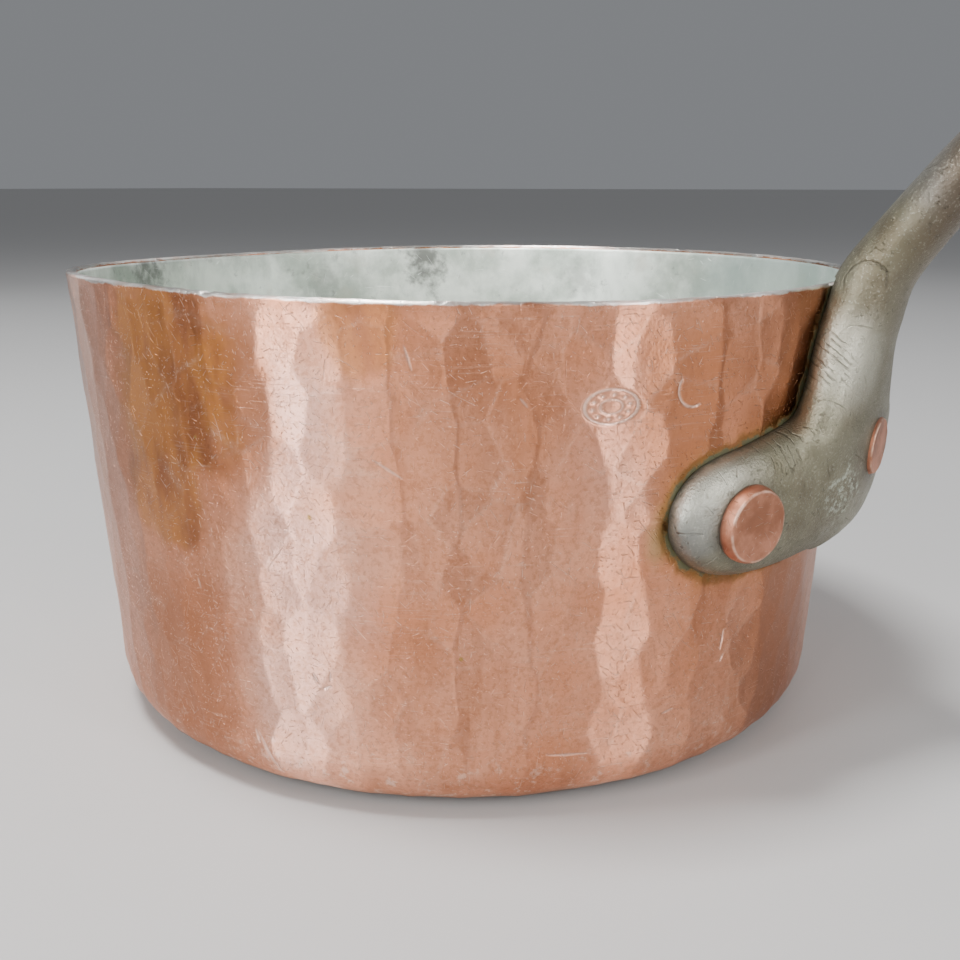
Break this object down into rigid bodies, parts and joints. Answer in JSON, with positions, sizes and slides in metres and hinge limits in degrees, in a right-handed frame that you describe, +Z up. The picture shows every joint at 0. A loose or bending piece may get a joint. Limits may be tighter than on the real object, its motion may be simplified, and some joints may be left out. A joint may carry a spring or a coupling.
{
  "type": "copper saucepan",
  "caption": "Hammered copper saucepan, tin-lined, with a long curved cast-iron handle held to its wall by copper rivets.",
  "frame": {"origin": "centre of the underside of the pan's base", "axes": "+Z up out of the pan, +X towards the handle, +Y to the left of someone who looks along +X"},
  "size_m": [0.4303, 0.2198, 0.2332],
  "materials": {
    "copper": "planished copper, satin, scratched and browned by heat",
    "tin": "old wiped tin, dull grey, mottled",
    "iron": "bare cast iron, worn to a dull sheen, fine pits",
    "rivet_copper": "hammered copper, satin"
  },
  "bodies": {
    "root": {"pan_body": "copper", "tin_lining": "tin", "handle": "iron", "rivet_left": "rivet_copper", "rivet_centre": "rivet_copper", "rivet_right": "rivet_copper"}
  },
  "joints": []
}
